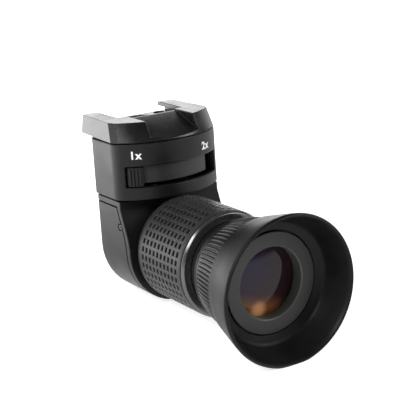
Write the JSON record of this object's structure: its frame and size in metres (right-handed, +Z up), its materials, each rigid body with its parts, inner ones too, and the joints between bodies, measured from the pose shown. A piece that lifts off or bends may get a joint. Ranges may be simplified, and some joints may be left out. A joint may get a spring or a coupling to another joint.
{
  "type": "right-angle viewfinder attachment",
  "caption": "Right-angle finder with a hook-rail camera mount, swivelling prism elbow, magnification selector, dioptre ring and flared rubber eyecup.",
  "frame": {"origin": "middle of the base of the bounding box: the point on the table under the middle of the attachment, as it stands on its elbow and the rim of its eyecup", "axes": "-Y towards the eye, along the eyepiece and 3.45 degrees off its axis; +Z up, towards the camera mount; +X to the right seen from the eye"},
  "size_m": [0.0432, 0.0904, 0.0572],
  "materials": {
    "satin_black": "satin black moulded plastic",
    "gloss_black": "smooth semi-gloss black moulded plastic",
    "black_metal": "matte black anodised aluminium",
    "blackened_screw": "blackened steel",
    "spring_steel": "bright spring steel",
    "neck_brass": "turned brass, greased",
    "coated_glass": "optical glass with a purple and amber coating",
    "grip_rubber": "black rubber with rows of small rectangular bumps",
    "surround_gray": "flat dark gray plastic",
    "eyecup_rubber": "soft matte black rubber"
  },
  "bodies": {
    "elbow": {"elbow_frame": "satin_black", "cover_left": "satin_black", "cover_right": "satin_black", "cover_screw_1": "blackened_screw", "cover_screw_2": "blackened_screw", "swivel_neck": "neck_brass", "neck_screw_1": "blackened_screw", "neck_screw_2": "blackened_screw", "neck_screw_3": "blackened_screw", "swivel_retaining_ring": "black_metal", "roof_prism": "coated_glass", "prism_bracket": "black_metal", "inner_tube": "black_metal", "relay_lens": "coated_glass", "relay_retainer": "black_metal", "field_stop": "black_metal"},
    "head": {"head_housing": "satin_black", "mount_frame": "gloss_black", "mount_screw_1": "blackened_screw", "mount_screw_2": "blackened_screw", "mount_screw_3": "blackened_screw", "mount_screw_4": "blackened_screw", "objective_cell": "black_metal", "objective_lens": "coated_glass", "guide_sleeve": "black_metal", "slot_guide": "satin_black", "detent_spring": "spring_steel", "detent_ball": "spring_steel"},
    "selector": {"selector_lever": "spring_steel", "cam_barrel": "black_metal", "selector_knob": "satin_black"},
    "converter": {"converter_cell": "black_metal", "converter_lens": "coated_glass", "cam_pin": "spring_steel"},
    "dioptre": {"dioptre_ring": "black_metal", "rubber_grip": "grip_rubber", "trim_ring": "gloss_black"},
    "eyepiece": {"eyepiece_barrel": "black_metal", "guide_key": "spring_steel", "inner_eye_lens": "coated_glass", "lens_spacer": "black_metal", "eye_lens": "coated_glass", "lens_surround": "surround_gray"},
    "eyecup": {"eyecup_ring": "satin_black", "eyecup": "eyecup_rubber"}
  },
  "joints": [
    {"name": "head_swivel", "type": "hinge", "parent": "elbow", "child": "head", "pos_m": [0, 0.0321, 0.01649], "axis": [0, 0.0602, 0.9982], "continuous": true},
    {"name": "selector_turn", "type": "hinge", "parent": "head", "child": "selector", "pos_m": [0, 0.0321, 0.01649], "axis": [0, 0.0602, 0.9982], "range_deg": [0, 72.8]},
    {"name": "converter_lift", "type": "slide", "parent": "head", "child": "converter", "axis": [0, 0.0602, 0.9982], "range_m": [0, 0.0025]},
    {"name": "dioptre_turn", "type": "hinge", "parent": "elbow", "child": "dioptre", "pos_m": [0, 0.0321, 0.01649], "axis": [0, 0.9982, -0.0602], "range_deg": [-120, 120]},
    {"name": "eyepiece_slide", "type": "slide", "parent": "elbow", "child": "eyepiece", "axis": [0, 0.9982, -0.0602], "range_m": [-0.0017, 0.0017]},
    {"name": "eyecup_turn", "type": "hinge", "parent": "eyepiece", "child": "eyecup", "pos_m": [0, 0.0321, 0.01649], "axis": [0, 0.9982, -0.0602], "continuous": true}
  ],
  "couplings": [
    {"joint": "converter_lift", "follows": "selector_turn", "m_per_rad": 0.0019675},
    {"joint": "eyepiece_slide", "follows": "dioptre_turn", "m_per_rad": 0.000796}
  ]
}
